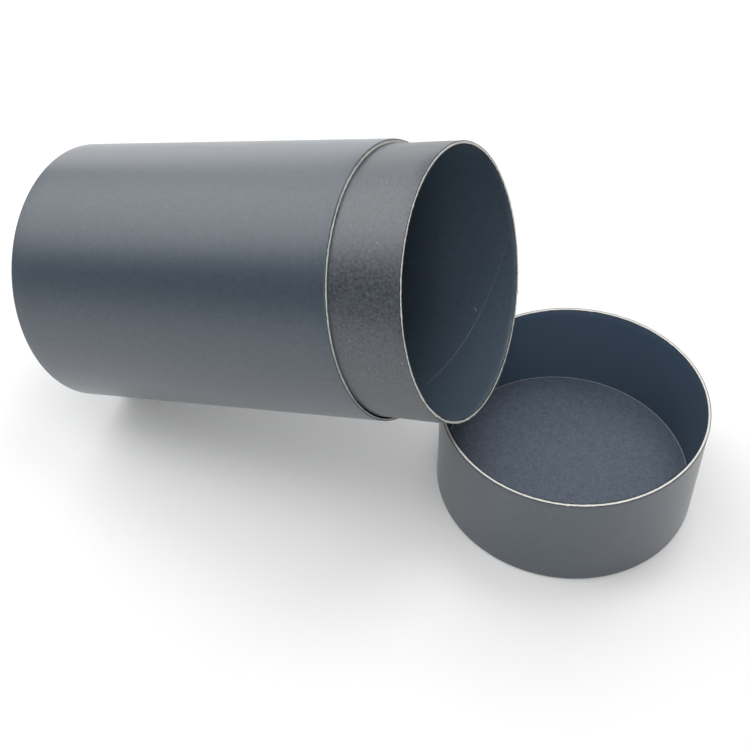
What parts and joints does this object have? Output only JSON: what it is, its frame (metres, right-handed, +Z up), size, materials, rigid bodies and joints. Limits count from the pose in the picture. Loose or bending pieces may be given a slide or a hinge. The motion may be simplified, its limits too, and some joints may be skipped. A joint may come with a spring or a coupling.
{
  "type": "cardboard tube",
  "caption": "Round cardboard tube with its slip-on lid taken off: the body lies with its neck propped on the rim of the upturned lid, for storing or posting dry goods.",
  "frame": {"origin": "on the floor, under the middle of the box around the body and the lid", "axes": "+Z up, +X along the body in plan towards its mouth and the lid, +Y to the left of that"},
  "size_m": [0.2627, 0.1107, 0.1431],
  "materials": {
    "faced_board": "smooth matte slate-grey paper on wound board",
    "bare_card": "uncoated speckled grey card",
    "disc_card": "uncoated speckled grey card, a little warmer"
  },
  "bodies": {
    "root": {"outer_tube": "faced_board", "neck_tube": "bare_card", "base_disc": "disc_card", "lid_tube": "faced_board", "lid_disc": "disc_card"}
  },
  "joints": []
}
